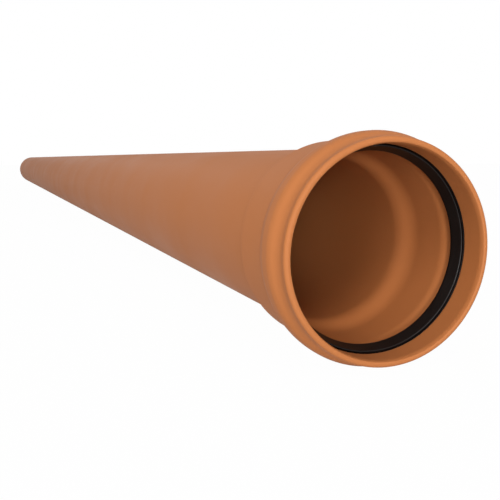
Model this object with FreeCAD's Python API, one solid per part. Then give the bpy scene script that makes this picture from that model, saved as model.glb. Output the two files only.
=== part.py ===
import FreeCAD, Part
import math
import os

# Underground drain pipe with an integral ring-seal socket, lying along X.
# +X leads out of the socket mouth, +Z is up, the origin is half way along the pipe on its axis.

os.makedirs("parts", exist_ok=True)

# ---- driving dimensions, in millimetres ----
overall_length = 3070.0        # plain end to socket mouth
pipe_diameter = 110.0          # outside of the barrel, the nominal size
wall = 4.2                     # barrel and socket wall

socket_clearance = 0.55        # between the next pipe's plain end and the socket bore, on the radius
socket_depth = 64.5            # mouth to the end of the socket bore
shoulder_bore_run = 12.0       # cone from the socket bore down to the barrel bore
shoulder_rear_setback = 66.5   # mouth to the end of the socket's plain outside
shoulder_run = 10.0            # cone from the socket outside down to the barrel outside
shoulder_round = 2.5           # rounding of the outer cone's corners
shoulder_bore_round = 25.0     # rounding of the inner cone's corners, which run together

mouth_opening = 1.45           # how much the lead-in bore is wider than the socket bore, on the radius
mouth_flare = 0.3              # how much the lead-in opens by the groove, on the radius
mouth_flare_round = 8.0        # arc that opens the lead-in out to the mouth
mouth_flare_depth = 3.2
lip_thickness = 3.8            # lead-in bore to the outside of the rounded lip
lip_round = 1.9                # outer edge of the lip
valley_depth = 0.3             # dip between lip and bead
valley_setback = 5.5

bead_height = 4.45             # crest of the raised ring housing above the socket's plain outside
bead_setback = 17.5            # mouth to the front of the bead's crest
bead_crest = 3.0               # length of the crest
bead_rear_run = 17.0           # crest to plain socket outside

groove_depth = 4.65            # floor of the ring groove, outside the socket bore
groove_front_setback = 16.2    # where the lead-in bore starts to open into the groove
groove_front_run = 2.8
groove_floor = 2.0             # length of the groove's cylindrical floor
groove_rear_run = 17.0

ring_gap = 0.2                 # moulding clearance all round the ring in its groove
ring_bite = 1.5                # how far the free lip stands inside the next pipe's outside
ring_body = 8.2                # start of the groove's floor to the back of the ring
ring_nose_setback = 1.1        # start of the groove to the front of the ring's nose
ring_nose_height = 1.2         # how far the nose stands inside the flared lead-in
ring_notch_depth = 1.1         # notch between the nose and the groove's front flank
ring_lip_run = 6.1             # nose to the front edge of the lip's land
ring_lip_land = 1.4
ring_lip_thickness = 2.9       # land to the root of the lip, measured across the pipe
ring_heel_height = 1.6         # back of the ring, inside the groove's surface

chamfer_length = 9.0           # lead-in at the plain end, about 15 degrees
chamfer_depth = 2.4

# ---- derived sizes ----
mouth_x = overall_length / 2
pipe_radius = pipe_diameter / 2
barrel_bore_radius = pipe_radius - wall
socket_bore_radius = pipe_radius + socket_clearance
socket_radius = socket_bore_radius + wall
groove_radius = socket_bore_radius + groove_depth
lead_in_radius = socket_bore_radius + mouth_opening
lip_radius = lead_in_radius + lip_thickness
groove_start_radius = lead_in_radius + mouth_flare
floor_start = groove_front_setback + groove_front_run
floor_end = floor_start + groove_floor
groove_end = floor_end + groove_rear_run
ring_nose_x = groove_front_setback + ring_nose_setback
ring_nose_radius = groove_start_radius - ring_nose_height
ring_lip_setback = ring_nose_x + ring_lip_run
ring_back = floor_start + ring_body
lip_land_radius = pipe_radius - ring_bite



def point(setback, radius):
    """Point of the section: distance back from the mouth, and radius from the axis."""
    return FreeCAD.Vector(mouth_x - setback, 0, radius)


def line(a, b):
    return Part.LineSegment(point(*a), point(*b)).toShape()


def arc(a, middle, b):
    return Part.Arc(point(*a), point(*middle), point(*b)).toShape()


def swell(a, b):
    """Two equal tangent arcs from a to b, both ends running parallel to the pipe's axis."""
    run, rise = b[0] - a[0], b[1] - a[1]
    radius = (run * run + rise * rise) / (4 * abs(rise))
    half = math.asin(abs(run) / (2 * radius)) / 2
    along = math.copysign(radius * math.sin(half), run)
    across = math.copysign(radius * (1 - math.cos(half)), rise)
    middle = ((a[0] + b[0]) / 2, (a[1] + b[1]) / 2)
    return [arc(a, (a[0] + along, a[1] + across), middle),
            arc(middle, (b[0] - along, b[1] - across), b)]


def corner(before, at, after, radius):
    """Tangent points and middle of a rounded corner between two straight walls."""
    ux, uy = before[0] - at[0], before[1] - at[1]
    vx, vy = after[0] - at[0], after[1] - at[1]
    ul, vl = math.hypot(ux, uy), math.hypot(vx, vy)
    ux, uy, vx, vy = ux / ul, uy / ul, vx / vl, vy / vl
    half = math.acos(ux * vx + uy * vy) / 2
    reach = radius / math.tan(half)
    bx, by = ux + vx, uy + vy
    bl = math.hypot(bx, by)
    inset = radius / math.sin(half) - radius
    return ((at[0] + ux * reach, at[1] + uy * reach),
            (at[0] + bx / bl * inset, at[1] + by / bl * inset),
            (at[0] + vx * reach, at[1] + vy * reach))


def rounded_outline(corners):
    """Edges of a closed outline from (setback, radius, rounding) corners."""
    turned = []
    for k, (x, r, rounding) in enumerate(corners):
        turned.append(corner(corners[k - 1][:2], (x, r), corners[(k + 1) % len(corners)][:2], rounding))
    edges = []
    for here, following in zip(turned, turned[1:] + turned[:1]):
        edges += [arc(*here), line(here[2], following[0])]
    return edges


def revolved(edges):
    """Solid of revolution about the pipe's axis from a closed section."""
    section = Part.Face(Part.Wire(Part.__sortEdges__(edges)))
    return section.revolve(FreeCAD.Vector(0, 0, 0), FreeCAD.Vector(1, 0, 0), 360)


# ---- pipe: outside from the mouth to the plain end, then back along the inside ----
lip_crown = (lip_round, lip_radius)
lip_front = (0.0, lip_radius - lip_round)
mouth_flare_turn = math.asin(mouth_flare_depth / mouth_flare_round)
mouth_front = (0.0, lead_in_radius + mouth_flare_round * (1 - math.cos(mouth_flare_turn)))
mouth_middle = (mouth_flare_depth - mouth_flare_round * math.sin(mouth_flare_turn / 2),
                lead_in_radius + mouth_flare_round * (1 - math.cos(mouth_flare_turn / 2)))
mouth_inside = (mouth_flare_depth, lead_in_radius)
bevel = math.cos(math.pi / 4)
valley = (valley_setback, lip_radius - valley_depth)
bead = (bead_setback, socket_radius + bead_height)
bead_rear = (bead_setback + bead_crest, socket_radius + bead_height)
bead_foot = (bead_setback + bead_crest + bead_rear_run, socket_radius)

socket_edge = (shoulder_rear_setback, socket_radius)
barrel_start = (shoulder_rear_setback + shoulder_run, pipe_radius)
chamfer_start = (overall_length - chamfer_length, pipe_radius)
plain_end_outer = (overall_length, pipe_radius - chamfer_depth)
plain_end_inner = (overall_length, barrel_bore_radius)
bore_start = (socket_depth + shoulder_bore_run, barrel_bore_radius)
socket_bore_end = (socket_depth, socket_bore_radius)
groove_foot = (groove_end, socket_bore_radius)

outer_top = corner(bead_foot, socket_edge, barrel_start, shoulder_round)
outer_toe = corner(socket_edge, barrel_start, chamfer_start, shoulder_round)
inner_toe = corner(plain_end_inner, bore_start, socket_bore_end, shoulder_bore_round)
inner_top = corner(bore_start, socket_bore_end, groove_foot, shoulder_bore_round)

pipe_edges = [
    line(mouth_front, lip_front),
    arc(lip_front, (lip_round * (1 - bevel), lip_radius - lip_round * (1 - bevel)), lip_crown),
    *swell(lip_crown, valley),
    *swell(valley, bead),
    line(bead, bead_rear),
    *swell(bead_rear, bead_foot),
    line(bead_foot, outer_top[0]),
    arc(*outer_top),
    line(outer_top[2], outer_toe[0]),
    arc(*outer_toe),
    line(outer_toe[2], chamfer_start),
    line(chamfer_start, plain_end_outer),
    line(plain_end_outer, plain_end_inner),
    line(plain_end_inner, inner_toe[0]),
    arc(*inner_toe),
    line(inner_toe[2], inner_top[0]),
    arc(*inner_top),
    line(inner_top[2], groove_foot),
    *swell(groove_foot, (floor_end, groove_radius)),
    line((floor_end, groove_radius), (floor_start, groove_radius)),
    *swell((floor_start, groove_radius), (groove_front_setback, groove_start_radius)),
    line((groove_front_setback, groove_start_radius), mouth_inside),
    arc(mouth_inside, mouth_middle, mouth_front),
]
pipe = revolved(pipe_edges)

# ---- ring_seal: body in the groove, front nose, and sealing lip leaning in and back ----
def groove_surface(setback):
    """Radius of the groove's rear flank this far back from the mouth."""
    rise = groove_radius - socket_bore_radius
    radius = (groove_rear_run ** 2 + rise ** 2) / (4 * rise)
    run = max(setback - floor_end, 0.0)
    return groove_radius - radius + math.sqrt(radius ** 2 - run ** 2)


flank_middle = (groove_front_setback + groove_front_run / 2, (groove_radius + groove_start_radius) / 2)
crown = groove_radius - ring_gap
ring_seal = revolved(rounded_outline([
    (flank_middle[0] + 1.5 * ring_gap, flank_middle[1], 0.2),
    (ring_nose_x + ring_notch_depth, (flank_middle[1] + ring_nose_radius) / 2 + 0.3, 0.5),
    (ring_nose_x, ring_nose_radius, 0.6),
    (ring_lip_setback, lip_land_radius, 0.4),
    (ring_lip_setback + ring_lip_land, lip_land_radius, 0.3),
    (ring_lip_setback + ring_lip_land / 2, lip_land_radius + ring_lip_thickness, 0.6),
    (ring_back, groove_surface(ring_back) - ring_gap - ring_heel_height, 0.5),
    (ring_back, groove_surface(ring_back) - 1.5 * ring_gap, 0.3),
    (floor_end, crown, 2.0),
    (floor_start + ring_gap, crown, 0.4),
]))

for name, solid in (("pipe", pipe), ("ring_seal", ring_seal)):
    box = solid.BoundBox
    print(name, solid.ShapeType, solid.isValid(), round(solid.Volume / 1000, 1), "cm3",
          [round(v, 2) for v in (box.XMin, box.XMax, box.YMin, box.YMax, box.ZMin, box.ZMax)])
    solid.exportStep("parts/" + name + ".step")
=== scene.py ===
# %% [markdown]
# # Underground drain pipe with a ring-seal socket
# The object is one length of orange-brown PVC-U drain pipe with a black rubber ring in its socket. The packed
# CAD model is the fixed frame: it gives the place and the outer sizes. Both CAD pieces are drawn with few
# facets, so each is replaced by a finely divided turned surface with the same section.

# %% Load the frame
import bpy
import math
import numpy as np
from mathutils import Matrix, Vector


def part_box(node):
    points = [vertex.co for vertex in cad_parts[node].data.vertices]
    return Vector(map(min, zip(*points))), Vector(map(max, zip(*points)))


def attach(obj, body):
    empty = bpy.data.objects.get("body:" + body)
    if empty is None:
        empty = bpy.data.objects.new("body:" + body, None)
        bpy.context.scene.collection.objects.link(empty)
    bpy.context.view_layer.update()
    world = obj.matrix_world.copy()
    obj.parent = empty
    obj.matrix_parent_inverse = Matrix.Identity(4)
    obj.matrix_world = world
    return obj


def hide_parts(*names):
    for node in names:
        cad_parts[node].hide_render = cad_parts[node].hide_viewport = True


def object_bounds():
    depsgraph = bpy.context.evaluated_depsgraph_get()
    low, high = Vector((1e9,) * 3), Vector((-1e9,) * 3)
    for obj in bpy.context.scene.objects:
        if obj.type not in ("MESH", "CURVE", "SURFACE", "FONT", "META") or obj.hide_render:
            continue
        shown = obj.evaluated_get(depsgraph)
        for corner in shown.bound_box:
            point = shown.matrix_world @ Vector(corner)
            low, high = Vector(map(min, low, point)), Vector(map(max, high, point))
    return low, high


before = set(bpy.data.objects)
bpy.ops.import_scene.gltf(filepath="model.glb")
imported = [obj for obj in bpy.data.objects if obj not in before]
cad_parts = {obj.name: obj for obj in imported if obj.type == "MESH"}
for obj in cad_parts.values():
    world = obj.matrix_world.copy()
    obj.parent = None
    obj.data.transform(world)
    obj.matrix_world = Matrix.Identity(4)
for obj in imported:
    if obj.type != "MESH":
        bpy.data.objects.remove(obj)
cad_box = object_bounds()
print("CAD box, metres:", cad_box)

# %% [markdown]
# ## Sizes
# A scene is in metres but a pipe is thought of in millimetres. The whole length and the height of the raised
# ring housing are read from the frame. The rest are the sizes that the pipe is made to: a 110 mm barrel, a wall
# of 4.2 mm, a socket bore 1.1 mm wider than the pipe that goes into it, and a groove for the ring.

# %% Sizes of the pipe
MM = 0.001
pipe_low, pipe_high = (np.array(corner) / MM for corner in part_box("pipe"))
mouth_x = float(pipe_high[0])
overall_length = float(pipe_high[0] - pipe_low[0])
bead_radius = float(pipe_high[2])

barrel_radius = 55.0
wall = 4.2
socket_clearance = 0.55    # all round the next pipe's plain end
mouth_opening = 1.45       # the lead-in is this much wider than the socket bore, on the radius
lip_thickness = 3.8
groove_depth = 4.65
bore_radius = barrel_radius - wall
socket_bore_radius = barrel_radius + socket_clearance
socket_radius = socket_bore_radius + wall
lead_in_radius = socket_bore_radius + mouth_opening
lip_radius = lead_in_radius + lip_thickness
groove_radius = socket_bore_radius + groove_depth
print("length", round(overall_length, 1), "mm, bead radius", round(bead_radius, 2), "mm")

# %% [markdown]
# ## How a turned shape is described
# The pipe and its ring are the same all the way round, so each is one closed section carried round the X axis.
# A section is a list of points: how far back from the mouth, and how far from the axis. It is put together from
# three kinds of run: straight walls, rounded corners, and swells. A swell is two equal arcs that leave and
# arrive parallel to the axis, the smooth hump that hot plastic takes over a former. A spin of a curve object or
# a Screw modifier would give the same shape, but worked-out arrays keep every radius exact.

# %% Runs of a section
def straight(a, b, guard=0.25):
    """Points from a to b: both ends, and one a guard length inside each, which keeps the shading of a long
    wall from picking up the turn of the corner next to it."""
    a, b = np.array(a, float), np.array(b, float)
    share = min(guard / np.linalg.norm(b - a), 0.3)
    return a + np.array([0.0, share, 1.0 - share, 1.0])[:, None] * (b - a)


def arc_about(centre, radius, start, end, steps=10):
    """Points at centre + radius * (cos t, sin t), for t in equal steps from start to end, in radians."""
    t = np.linspace(start, end, steps + 1)
    return np.array(centre) + radius * np.stack([np.cos(t), np.sin(t)], axis=1)


def swell(a, b, steps=14):
    """Two equal arcs from a to b, parallel to the axis at both ends. With run u and rise h their radius is
    (u*u + h*h) / (4*h); the first turns away from a, and the second is the first one turned half round."""
    a, b = np.array(a, float), np.array(b, float)
    run, rise = b - a
    radius = (run * run + rise * rise) / (4 * abs(rise))
    turn = np.linspace(0, math.asin(abs(run) / (2 * radius)), steps + 1)
    first = a + np.stack([np.sign(run) * radius * np.sin(turn),
                          np.sign(rise) * radius * (1 - np.cos(turn))], axis=1)
    second = a + b - first[::-1]
    return np.concatenate([first, second[1:]])


def rounded(before, at, after, radius, steps=8):
    """An arc of the given radius that touches both walls of the corner at. Its centre lies on the line that
    halves the corner, at radius / sin(half the corner's angle)."""
    before, at, after = (np.array(p, float) for p in (before, at, after))
    u = (before - at) / np.linalg.norm(before - at)
    v = (after - at) / np.linalg.norm(after - at)
    half = math.acos(np.clip(u @ v, -1, 1)) / 2
    centre = at + (u + v) / np.linalg.norm(u + v) * radius / math.sin(half)
    p, q = at + u * radius / math.tan(half), at + v * radius / math.tan(half)
    start, end = (math.atan2(*(w - centre)[::-1]) for w in (p, q))
    turn = (end - start + math.pi) % (2 * math.pi) - math.pi
    return arc_about(centre, radius, start, start + turn, steps)


def section(*runs):
    """One closed list of points from several runs. A point that repeats the one before it is dropped."""
    points = np.concatenate(runs)
    step = np.linalg.norm(points - np.roll(points, 1, axis=0), axis=1)
    return points[step > 1e-4]

# %% [markdown]
# ## Turning a section
# Every point of the section goes to a ring of points. The grid of points is closed both ways, so the surface
# has no seam, no pole and no open edge.

# %% Turn a section about the pipe's axis
def turned(name, points, turns):
    """Grid of vertices (mouth - setback, radius * cos t, radius * sin t), for each section point and each of
    the equal turns t. Each face joins two neighbouring points at two neighbouring turns."""
    setback, radius = points[:, :1], points[:, 1:]
    t = np.arange(turns) / turns * 2 * np.pi
    grid = np.stack([np.broadcast_to(mouth_x - setback, (len(points), turns)),
                     radius * np.cos(t), radius * np.sin(t)], axis=-1) * MM
    i, j = np.meshgrid(np.arange(len(points)), np.arange(turns), indexing="ij")
    ni, nj = (i + 1) % len(points), (j + 1) % turns
    quads = np.stack([i * turns + j, ni * turns + j, ni * turns + nj, i * turns + nj], axis=-1).reshape(-1, 4)
    x, r = points[:, 0], points[:, 1]
    if np.sum(x * np.roll(r, -1) - np.roll(x, -1) * r) > 0:
        quads = quads[:, ::-1]
    mesh = bpy.data.meshes.new(name)
    mesh.from_pydata(grid.reshape(-1, 3), [], quads.tolist())
    mesh.polygons.foreach_set("use_smooth", np.ones(len(quads), dtype=bool))
    mesh.update()
    piece = bpy.data.objects.new(name, mesh)
    bpy.context.collection.objects.link(piece)
    print(name, len(points), "section points,", 2 * len(quads), "triangles")
    return piece

# %% [markdown]
# ## The pipe
# PVC-U is extruded as a plain tube, cut to length and chamfered at one end. The other end is heated and pushed
# over a former with the ring already on it, which gives the socket, the raised housing for the ring and the
# rounded lip in one piece with the barrel. The outside is followed from the mouth to the plain end, and then
# the inside back to the mouth.

# %% Section of the pipe
# Setbacks, in millimetres back from the mouth
valley_setback, bead_front, bead_back, bead_end = 5.5, 17.5, 20.5, 37.5
socket_back, barrel_front = 66.5, 76.5
socket_depth, bore_front = 64.5, 76.5
groove_front, floor_start, floor_end, groove_back = 16.2, 19.0, 21.0, 38.0
chamfer_length, flare_depth = 9.0, 3.2
# Heights and roundings, in millimetres
valley_depth, groove_flare, chamfer_depth = 0.3, 0.3, 2.4
lip_round, flare_round = 1.9, 8.0
shoulder_round, bore_shoulder_round, chamfer_round, arris_round = 2.5, 25.0, 1.5, 0.25

flare_turn = math.asin(flare_depth / flare_round)
lip_crown, mouth_inside = (lip_round, lip_radius), (flare_depth, lead_in_radius)
valley, bead = (valley_setback, lip_radius - valley_depth), (bead_front, bead_radius)
bead_rear, bead_foot = (bead_back, bead_radius), (bead_end, socket_radius)
socket_edge, barrel_start = (socket_back, socket_radius), (barrel_front, barrel_radius)
chamfer_start = (overall_length - chamfer_length, barrel_radius)
end_outer = (overall_length, barrel_radius - chamfer_depth)
end_inner, bore_start = (overall_length, bore_radius), (bore_front, bore_radius)
socket_end, groove_foot = (socket_depth, socket_bore_radius), (groove_back, socket_bore_radius)
floor_rear, floor_front = (floor_end, groove_radius), (floor_start, groove_radius)
groove_lip = (groove_front, lead_in_radius + groove_flare)

shoulder_top = rounded(bead_foot, socket_edge, barrel_start, shoulder_round)
shoulder_toe = rounded(socket_edge, barrel_start, chamfer_start, shoulder_round)
chamfer_top = rounded(barrel_start, chamfer_start, end_outer, chamfer_round)
outer_arris = rounded(chamfer_start, end_outer, end_inner, arris_round, 4)
inner_arris = rounded(end_outer, end_inner, bore_start, arris_round, 4)
bore_toe = rounded(end_inner, bore_start, socket_end, bore_shoulder_round)
bore_top = rounded(bore_start, socket_end, groove_foot, bore_shoulder_round)

pipe_section = section(
    arc_about((lip_round, lip_radius - lip_round), lip_round, math.pi, math.pi / 2),
    swell(lip_crown, valley), swell(valley, bead), straight(bead, bead_rear), swell(bead_rear, bead_foot),
    straight(bead_foot, shoulder_top[0]), shoulder_top, straight(shoulder_top[-1], shoulder_toe[0]),
    shoulder_toe, straight(shoulder_toe[-1], chamfer_top[0]), chamfer_top,
    straight(chamfer_top[-1], outer_arris[0]), outer_arris, straight(outer_arris[-1], inner_arris[0]),
    inner_arris, straight(inner_arris[-1], bore_toe[0]), bore_toe, straight(bore_toe[-1], bore_top[0]),
    bore_top, straight(bore_top[-1], groove_foot), swell(groove_foot, floor_rear),
    straight(floor_rear, floor_front), swell(floor_front, groove_lip), straight(groove_lip, mouth_inside),
    arc_about((flare_depth, lead_in_radius + flare_round), flare_round,
              -math.pi / 2, -math.pi / 2 - flare_turn))
TURNS = 288
pipe = turned("drain_pipe", pipe_section, TURNS)

# %% [markdown]
# ## The sealing ring
# The ring is moulded rubber. Its body fills the groove, a rounded bead faces the mouth, and behind the bead a
# thin lip leans in and back: the next pipe bends it outwards, and it grips.

# %% Section of the ring
ring_corners = np.array([
    # back from the mouth, from the axis, rounding
    (17.90, 58.75, 0.2),   # meets the front of the groove
    (18.40, 57.73, 0.5),   # notch behind the nose
    (17.30, 56.10, 0.6),   # nose
    (23.40, 53.50, 0.4),   # lip, front of its land
    (24.80, 53.50, 0.3),   # lip, back of its land
    (24.10, 56.40, 0.6),   # root of the lip
    (27.20, 57.20, 0.5),   # heel
    (27.20, 58.50, 0.3),   # back of the body, under the groove's rear flank
    (21.00, 60.00, 2.0),   # crown, in the floor of the groove
    (19.20, 60.00, 0.4)])
before, after = np.roll(ring_corners, 1, axis=0), np.roll(ring_corners, -1, axis=0)
bends = [rounded(b[:2], c[:2], a[:2], c[2], 6) for b, c, a in zip(before, ring_corners, after)]
ring_section = section(*(run for here, there in zip(bends, bends[1:] + bends[:1])
                         for run in (here, straight(here[-1], there[0], 0.1))))
ring = turned("sealing_ring", ring_section, TURNS)

# %% [markdown]
# ## Colours and nodes
# Colours are written as the eye picks them on a screen, in sRGB hex, and Blender mixes light in linear
# numbers, so one function turns the one into the other. One more function adds a node, sets it and links it.

# %% Colour and node helpers
def linear(hex_colour, alpha=1.0):
    """Linear red, green and blue of an sRGB hex colour: the standard curve, a short straight part and then
    ((c + 0.055) / 1.055) to the power 2.4."""
    c = np.array([int(hex_colour[i:i + 2], 16) for i in (1, 3, 5)]) / 255
    c = np.where(c <= 0.04045, c / 12.92, ((c + 0.055) / 1.055) ** 2.4)
    return (*c.tolist(), alpha)


def add(tree, kind, settings=None, links=None):
    """Add a node of this kind. settings holds its properties, or values of input sockets by name or number;
    links holds the output socket that feeds each named or numbered input."""
    node = tree.nodes.new(kind)
    for key, value in (settings or {}).items():
        if isinstance(key, str) and hasattr(node, key):
            setattr(node, key, value)
        else:
            node.inputs[key].default_value = value
    for key, source in (links or {}).items():
        tree.links.new(source, node.inputs[key])
    return node


def new_material(name):
    """An empty node material with a Principled shader on its output."""
    material = bpy.data.materials.new(name)
    material.use_nodes = True
    tree = material.node_tree
    tree.nodes.clear()
    shader = add(tree, "ShaderNodeBsdfPrincipled")
    add(tree, "ShaderNodeOutputMaterial", links={"Surface": shader.outputs[0]})
    return material, tree, shader

# %% [markdown]
# ## Extruded PVC-U
# The plastic is PVC-U pigmented orange-brown all through. A hot die leaves a smooth satin skin with very faint
# lines along the pipe, and the surface is never quite even: its gloss drifts slowly from place to place.

# %% Material of the pipe
tone_patches_per_metre = 14.0    # patches about 70 mm across
die_lines_per_metre = 420.0      # lines about 2.4 mm apart: real ones are finer, and would not show
die_line_stretch = 0.006         # a line keeps its place for a good part of the length
skin_grains_per_metre = 900.0    # grains about 1 mm across, coarser than the real skin so that they show
plastic, tree, shader = new_material("extruded_pvc_u_orange_brown")
place = add(tree, "ShaderNodeTexCoord").outputs["Object"]
drift = add(tree, "ShaderNodeTexNoise", {"Scale": tone_patches_per_metre, "Detail": 3.0, "Roughness": 0.55},
            {"Vector": place})
along = add(tree, "ShaderNodeMapping", {"Scale": (die_line_stretch, 1.0, 1.0)}, {"Vector": place})
die_lines = add(tree, "ShaderNodeTexNoise", {"Scale": die_lines_per_metre, "Detail": 2.0, "Roughness": 0.5},
                {"Vector": along.outputs[0]})
skin = add(tree, "ShaderNodeTexNoise", {"Scale": skin_grains_per_metre, "Detail": 2.0, "Roughness": 0.5},
           {"Vector": place})

tint = add(tree, "ShaderNodeMix", {"data_type": "RGBA", 6: linear("#a46335"), 7: linear("#aa693c")},
           {0: drift.outputs["Fac"]})
tree.links.new(tint.outputs[2], shader.inputs["Base Color"])
gloss = add(tree, "ShaderNodeMapRange", {"From Min": 0.3, "From Max": 0.7, "To Min": 0.56, "To Max": 0.66},
            {"Value": drift.outputs["Fac"]})
tree.links.new(gloss.outputs[0], shader.inputs["Roughness"])
lines = add(tree, "ShaderNodeBump", {"Strength": 0.12, "Distance": 0.00004},
            {"Height": die_lines.outputs["Fac"]})
grain = add(tree, "ShaderNodeBump", {"Strength": 0.25, "Distance": 0.00003},
            {"Height": skin.outputs["Fac"], "Normal": lines.outputs[0]})
tree.links.new(grain.outputs[0], shader.inputs["Normal"])
shader.inputs["IOR"].default_value = 1.53
shader.inputs["Specular IOR Level"].default_value = 0.15
print(plastic.name, len(tree.nodes), "nodes")

# %% [markdown]
# ## Moulded rubber
# The ring is black SBR rubber. Carbon black makes it nearly the darkest thing in any room, and the mould's
# polished faces and a film of lubricant leave a soft grey shine on its bead.

# %% Material of the ring
bloom_patches_per_metre = 60.0       # patches about 17 mm across
rubber_grains_per_metre = 1500.0     # grains about 0.7 mm across, coarser than real so that they show
rubber, tree, shader = new_material("moulded_sbr_rubber_black")
place = add(tree, "ShaderNodeTexCoord").outputs["Object"]
bloom = add(tree, "ShaderNodeTexNoise", {"Scale": bloom_patches_per_metre, "Detail": 3.0, "Roughness": 0.5},
            {"Vector": place})
tint = add(tree, "ShaderNodeMix", {"data_type": "RGBA", 6: linear("#0c0807"), 7: linear("#130e0c")},
           {0: bloom.outputs["Fac"]})
tree.links.new(tint.outputs[2], shader.inputs["Base Color"])
gloss = add(tree, "ShaderNodeMapRange", {"From Min": 0.3, "From Max": 0.7, "To Min": 0.34, "To Max": 0.44},
            {"Value": bloom.outputs["Fac"]})
tree.links.new(gloss.outputs[0], shader.inputs["Roughness"])
skin = add(tree, "ShaderNodeTexNoise", {"Scale": rubber_grains_per_metre, "Detail": 2.0, "Roughness": 0.5},
           {"Vector": place})
grain = add(tree, "ShaderNodeBump", {"Strength": 0.3, "Distance": 0.00004}, {"Height": skin.outputs["Fac"]})
tree.links.new(grain.outputs[0], shader.inputs["Normal"])
shader.inputs["IOR"].default_value = 1.52
shader.inputs["Specular IOR Level"].default_value = 0.2
print(rubber.name, len(tree.nodes), "nodes")

# %% [markdown]
# ## Dressing the pieces
# Each new surface stands in for one CAD piece, takes the finish made for it above, and rides on the one
# body of the part, so that it goes wherever the CAD goes. The CAD pieces are hidden, not moved.

# %% Dress the pieces and tie them to the frame
for piece, node, slot, material in ((pipe, "pipe", "pipe_plastic", plastic),
                                    (ring, "ring_seal", "ring_rubber", rubber)):
    piece.data.materials.append(material)
    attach(piece, "root")
    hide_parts(node)
    print(piece.name, "stands for", node, "and rides on root")

# %% [markdown]
# ## Floor
# The pipe lies on a plain pale floor in a white room. The floor shows as white to the camera and to glossy
# reflections, with the soft shadow of the pipe left on it.

# %% Floor
def rays_that_see_white(tree):
    """1 for a ray from the camera, a reflection or a clear material, and 0 for light on its way round: the
    greatest of the three answers of the Light Path node."""
    rays = add(tree, "ShaderNodeLightPath")
    seen = add(tree, "ShaderNodeMath", {"operation": "MAXIMUM"},
               {0: rays.outputs["Is Camera Ray"], 1: rays.outputs["Is Transmission Ray"]})
    return add(tree, "ShaderNodeMath", {"operation": "MAXIMUM"},
               {0: seen.outputs[0], 1: rays.outputs["Is Glossy Ray"]})


floor_gap, floor_reach, floor_whiteness = 0.0005, 12, 0.985
floor_z = cad_box[0][2] - floor_gap
floor_mesh = bpy.data.meshes.new("studio_floor")
floor_corners = [(x * floor_reach, y * floor_reach, floor_z) for x, y in ((-1, -1), (1, -1), (1, 1), (-1, 1))]
floor_mesh.from_pydata(floor_corners, [], [(0, 1, 2, 3)])
floor = bpy.data.objects.new("studio_floor", floor_mesh)
bpy.context.collection.objects.link(floor)
paint = bpy.data.materials.new("studio_floor_white")
paint.use_nodes = True
tree = paint.node_tree
tree.nodes.clear()
seen = rays_that_see_white(tree)
seen = add(tree, "ShaderNodeMath", {"operation": "MULTIPLY", 1: floor_whiteness}, {0: seen.outputs[0]})
matt = add(tree, "ShaderNodeBsdfDiffuse", {"Color": linear("#d9d9d9")})
glow = add(tree, "ShaderNodeEmission", {"Color": (1, 1, 1, 1), "Strength": 1.0})
mixed = add(tree, "ShaderNodeMixShader", links={0: seen.outputs[0], 1: matt.outputs[0], 2: glow.outputs[0]})
add(tree, "ShaderNodeOutputMaterial", links={"Surface": mixed.outputs[0]})
floor_mesh.materials.append(paint)
print("floor at", round(floor_z, 4), "m")

# %% [markdown]
# ## Room and lamps
# A dim white room fills the shadows. Soft square lamps do the rest: one from the side, two low ones in front
# that reach down the bore, one above the mouth and a weak one over the plain end. All are plain white.

# %% Room and lamps
world = bpy.data.worlds.new("white_room")
bpy.context.scene.world = world
world.use_nodes = True
tree = world.node_tree
tree.nodes.clear()
seen = rays_that_see_white(tree)
dim = add(tree, "ShaderNodeBackground", {"Color": (1, 1, 1, 1), "Strength": 0.5})
white = add(tree, "ShaderNodeBackground", {"Color": (1, 1, 1, 1), "Strength": 1.0})
mixed = add(tree, "ShaderNodeMixShader", links={0: seen.outputs[0], 1: dim.outputs[0], 2: white.outputs[0]})
add(tree, "ShaderNodeOutputWorld", links={"Surface": mixed.outputs[0]})


def lamp(name, place, aim, size, energy):
    """A square area lamp at place, turned to face aim."""
    data = bpy.data.lights.new(name, "AREA")
    data.size, data.energy = size, energy
    lamp_object = bpy.data.objects.new(name, data)
    bpy.context.collection.objects.link(lamp_object)
    lamp_object.location = place
    direction = Vector(aim) - Vector(place)
    lamp_object.rotation_euler = direction.to_track_quat("-Z", "Y").to_euler()


mouth = (mouth_x * MM, 0.0, 0.0)
lamp("side_key", (4.4, -3.0, 1.0), mouth, 1.2, 36)
lamp("front_key", (4.4, -1.05, 0.28), mouth, 0.5, 54)
lamp("front_fill", (4.4, -1.3, 0.08), mouth, 0.5, 20)
lamp("front_top", (2.9, -0.6, 1.5), mouth, 0.8, 18)
lamp("back_rim", (-5.0, -0.5, 2.2), (-1.4, 0, 0), 0.8, 8)
print(len(bpy.data.lights), "lamps")

# %% [markdown]
# ## Camera
# The camera stands close in front of the mouth, a little to one side and just above the axis, so the long
# barrel falls away behind the socket.

# %% Camera
camera_ahead, camera_aside, camera_up = 314.5, 195.21, 49.11    # from the middle of the mouth, in millimetres
camera_down_tilt, camera_turn = 7.376, 69.687                   # degrees below level, and round from +Y
camera_data = bpy.data.cameras.new("camera")
camera_data.sensor_width = 36.0
camera_data.lens = 50.832
camera_data.clip_start = 0.01
camera = bpy.data.objects.new("camera", camera_data)
bpy.context.collection.objects.link(camera)
camera.location = ((mouth_x + camera_ahead) * MM, -camera_aside * MM, camera_up * MM)
camera.rotation_euler = (math.radians(90 - camera_down_tilt), 0, math.radians(camera_turn))
bpy.context.scene.camera = camera
bpy.context.scene.view_settings.view_transform = "Standard"
print("camera at", [round(v, 3) for v in camera.location])
